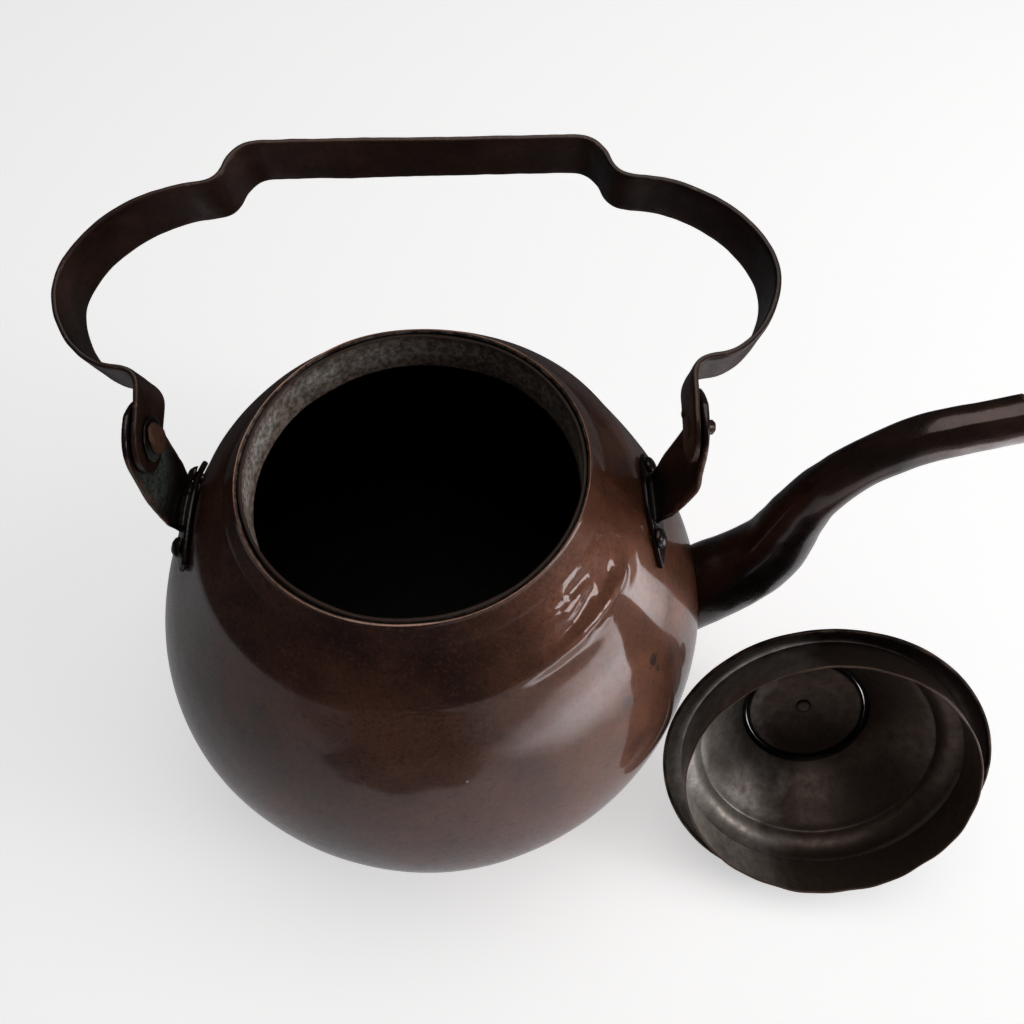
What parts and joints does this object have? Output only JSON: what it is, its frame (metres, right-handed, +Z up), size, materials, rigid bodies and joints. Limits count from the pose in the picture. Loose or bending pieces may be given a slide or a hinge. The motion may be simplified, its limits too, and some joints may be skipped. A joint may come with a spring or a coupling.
{
  "type": "stovetop kettle",
  "caption": "Hand-raised copper stovetop kettle with open mouth, curved spout, strap bail swinging on riveted ears, and a separate stepped lid with collar and knob.",
  "frame": {"origin": "centre of the kettle's flat bottom, on the table", "axes": "+Z up, +X towards the spout, -Y towards the viewer and the side the lid stands on"},
  "size_m": [0.3529, 0.2398, 0.2403],
  "materials": {
    "copper_body": "dark patinated copper, glossy, mottled",
    "copper_spout": "dark patinated copper, glossy",
    "copper_ears": "dark patinated copper, satin, traces of verdigris",
    "copper_rivets": "worn copper, satin",
    "copper_bail": "dark brown copper strap, satin to glossy",
    "copper_knob": "dark patinated copper, satin",
    "tinned_band": "old grey-brown tinning, rough, speckled",
    "tinned_lid": "worn grey tinning inside, near-black patina outside, satin"
  },
  "bodies": {
    "kettle": {"body_shell": "copper_body", "mouth_band": "tinned_band", "spout_tube": "copper_spout", "ear_spout_side": "copper_ears", "foot_rivet_spout_side_near": "copper_rivets", "foot_rivet_spout_side_far": "copper_rivets", "pivot_rivet_spout_side": "copper_rivets", "ear_back_side": "copper_ears", "foot_rivet_back_side_near": "copper_rivets", "foot_rivet_back_side_far": "copper_rivets", "pivot_rivet_back_side": "copper_rivets", "pivot_washer_back_side": "copper_rivets"},
    "bail": {"bail_strap": "copper_bail", "bail_pin": "copper_rivets"},
    "lid": {"lid_dome": "tinned_lid", "lid_collar": "tinned_lid", "lid_crown": "tinned_lid", "lid_knob": "copper_knob", "lid_knob_rivet": "copper_rivets"}
  },
  "joints": [
    {"name": "bail_swing", "type": "hinge", "parent": "kettle", "child": "bail", "pos_m": [0.004, 0, 0.189], "axis": [-1, 0, 0], "range_deg": [-172, 36]},
    {"name": "lid_lift", "type": "slide", "parent": "kettle", "child": "lid", "axis": [0, 0, 1], "range_m": [0, 0.21]}
  ]
}
